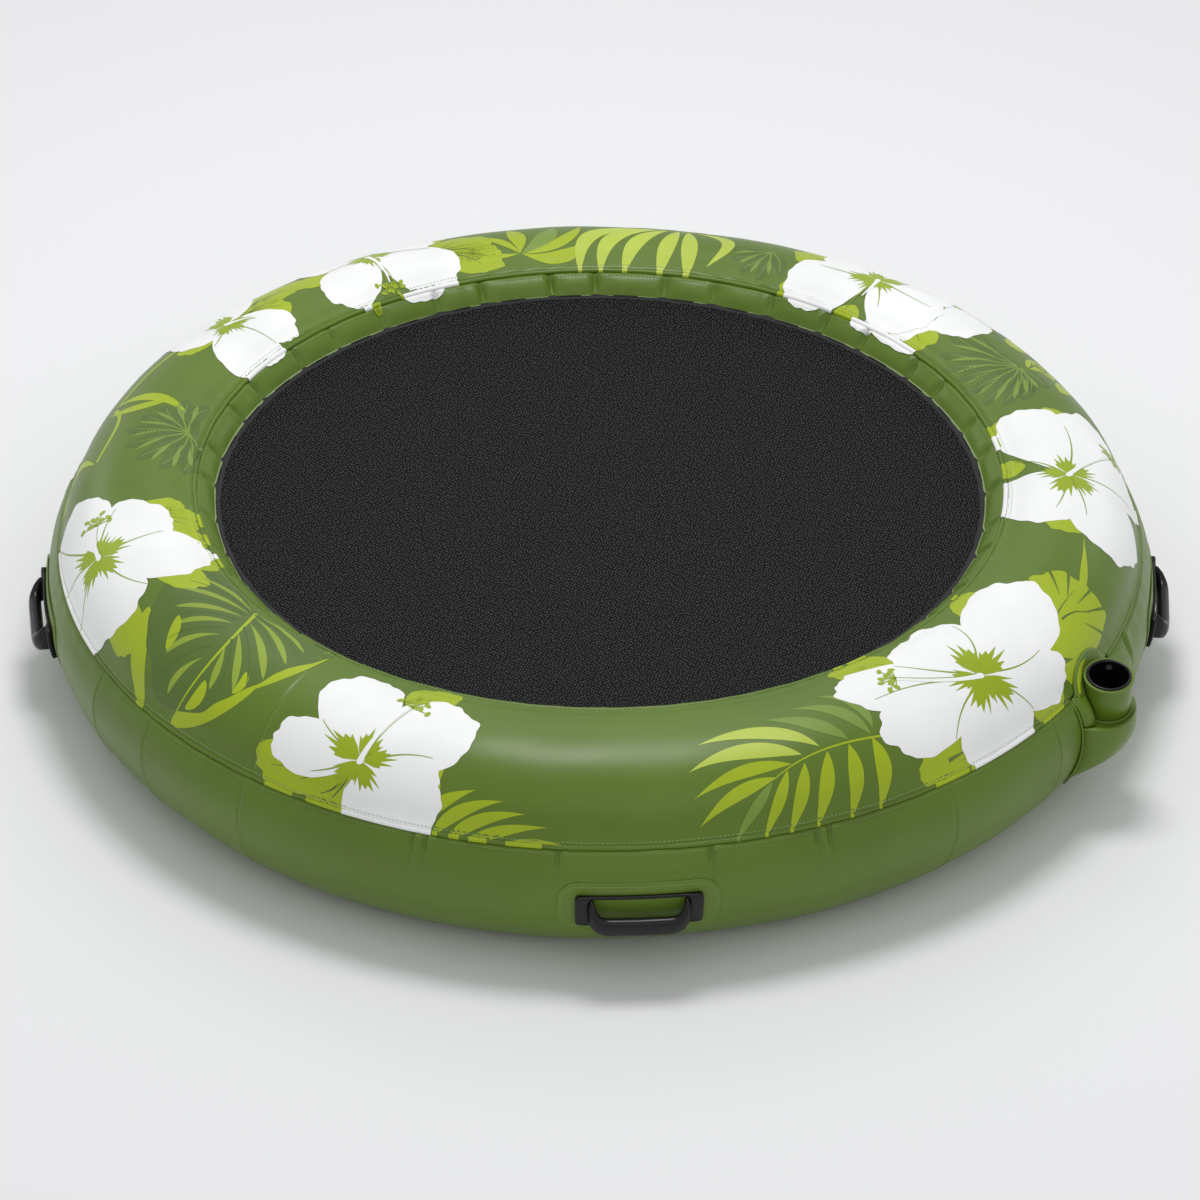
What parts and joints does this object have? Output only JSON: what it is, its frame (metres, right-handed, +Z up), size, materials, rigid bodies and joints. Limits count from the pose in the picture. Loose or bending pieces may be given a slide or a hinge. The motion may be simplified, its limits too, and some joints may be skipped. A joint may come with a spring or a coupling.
{
  "type": "water hammock",
  "caption": "Round inflatable ring in a sewn fabric cover with a mesh floor, grab handles and a cup holder, for lounging on water.",
  "frame": {"origin": "on the ring's axis, at the flat underside that rests on the ground or the water", "axes": "+Z up along the ring's axis; -Y towards the front handle's side, so that the cup holder is at the front right; +X to the right"},
  "size_m": [2.0659, 2.0706, 0.3763],
  "materials": {
    "cover_print": "coated woven polyester, satin, olive green with a white, lime and dark green flower print",
    "cover_green": "coated woven polyester, satin, plain olive green",
    "patch": "coated woven polyester, satin, green",
    "piping": "fabric cord in a green binding",
    "film": "thin soft vinyl film, grey",
    "mesh": "fine black net fabric",
    "webbing": "black woven tape, matt",
    "moulded_black": "moulded black rubber, satin",
    "rubber": "soft black rubber, matt",
    "valve_plastic": "dark grey moulded plastic",
    "metal": "plain grey metal, satin"
  },
  "bodies": {
    "float": {"air_bladder": "film", "cover_top_panel": "cover_print", "cover_outer_wall": "cover_green", "cover_bottom_panel": "cover_green", "cover_inner_wall": "cover_green", "piping_inner_top": "piping", "piping_outer_top": "piping", "mesh_floor": "mesh", "mesh_hem": "webbing", "mesh_tabs": "webbing", "handle_patch_front": "patch", "handle_base_front": "moulded_black", "handle_grip_front": "moulded_black", "handle_patch_right": "patch", "handle_base_right": "moulded_black", "handle_grip_right": "moulded_black", "handle_patch_back": "patch", "handle_base_back": "moulded_black", "handle_grip_back": "moulded_black", "handle_patch_left": "patch", "handle_base_left": "moulded_black", "handle_grip_left": "moulded_black", "cup_pod": "cover_green", "cup_hood": "cover_green", "cup_welt": "piping", "cup_sleeve": "cover_green", "cup_edge_binding": "patch", "cup_collar": "patch", "cup_liner": "rubber", "cup_rim": "moulded_black", "cup_stud": "metal", "valve_base": "valve_plastic", "valve_insert": "valve_plastic", "valve_seal": "rubber", "valve_flap": "rubber", "zip_tape_upper": "webbing", "zip_tape_lower": "webbing", "zip_stop_first": "metal", "zip_stop_last": "metal"},
    "valve_cap": {"valve_cap": "valve_plastic"},
    "zip_slider": {"zip_slider": "metal"},
    "zip_pull": {"zip_pull": "metal"}
  },
  "joints": [
    {"name": "valve_cap_turn", "type": "hinge", "parent": "float", "child": "valve_cap", "pos_m": [-0.59574, 0.79779, 0.14526], "axis": [-0.5919, 0.7927, -0.1457], "range_deg": [0, 540]},
    {"name": "zip_slider_run", "type": "hinge", "parent": "float", "child": "zip_slider", "pos_m": [0, 0, 0.0914], "axis": [0, 0, 1], "range_deg": [-28.2, 0]},
    {"name": "zip_pull_swing", "type": "hinge", "parent": "zip_slider", "child": "zip_pull", "pos_m": [-0.72343, 0.67184, 0.08782], "axis": [-0.3386, 0.3145, 0.8868], "range_deg": [0, 180]}
  ]
}
